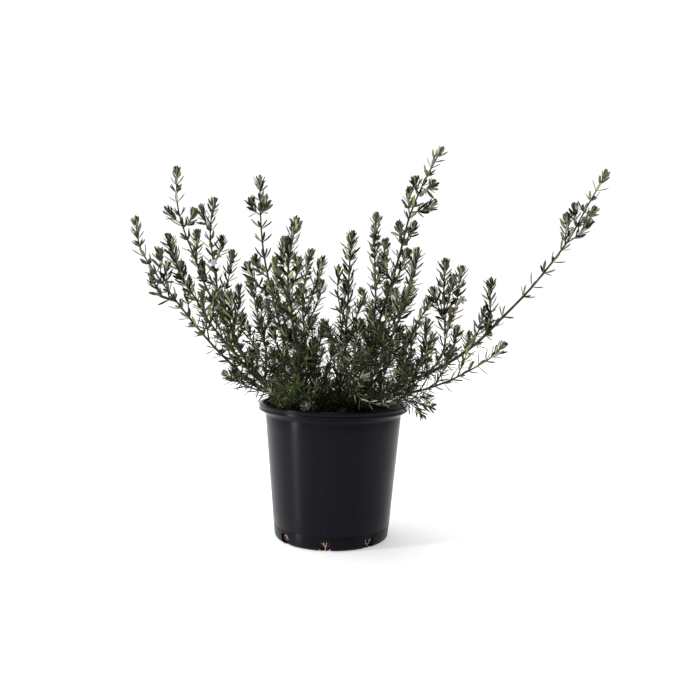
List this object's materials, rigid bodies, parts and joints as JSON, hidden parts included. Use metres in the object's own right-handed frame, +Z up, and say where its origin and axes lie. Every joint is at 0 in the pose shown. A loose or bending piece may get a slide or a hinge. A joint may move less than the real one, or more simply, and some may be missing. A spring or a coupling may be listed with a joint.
{
  "type": "potted coastal rosemary",
  "caption": "Bushy coastal rosemary shrub with long arching leafy branches, growing in a round tapered black nursery pot with drain holes round its foot.",
  "frame": {"origin": "middle of the pot's flat underside, on the surface the pot stands on", "axes": "+Z up along the pot's axis, +X along the plant's widest spread towards its longest branch, +Y towards the plant's back"},
  "size_m": [0.6563, 0.3736, 0.532],
  "materials": {
    "black_plastic": "satin black moulded plastic with faint scuffs",
    "bark_mix": "rough dark composted bark",
    "leafy_stem": "matt grey-green leaves, paler and felted underneath, on thin brown to grey stems"
  },
  "bodies": {
    "root": {"pot": "black_plastic", "potting_mix": "bark_mix", "branch_back_centre": "leafy_stem", "branch_back_left": "leafy_stem", "branch_back_right": "leafy_stem", "branch_centre": "leafy_stem", "branch_drooping": "leafy_stem", "branch_far_left": "leafy_stem", "branch_far_right": "leafy_stem", "branch_front_corner": "leafy_stem", "branch_front_left": "leafy_stem", "branch_front_middle": "leafy_stem", "branch_front_right": "leafy_stem", "branch_left_front": "leafy_stem", "branch_left_high": "leafy_stem", "branch_left_inner": "leafy_stem", "branch_low_front": "leafy_stem", "branch_low_left": "leafy_stem", "branch_low_right": "leafy_stem", "branch_rear_left": "leafy_stem", "branch_rear_middle": "leafy_stem", "branch_rear_right": "leafy_stem", "branch_right_front": "leafy_stem", "branch_right_inner": "leafy_stem", "branch_tall_left": "leafy_stem", "branch_tall_right": "leafy_stem"}
  },
  "joints": []
}
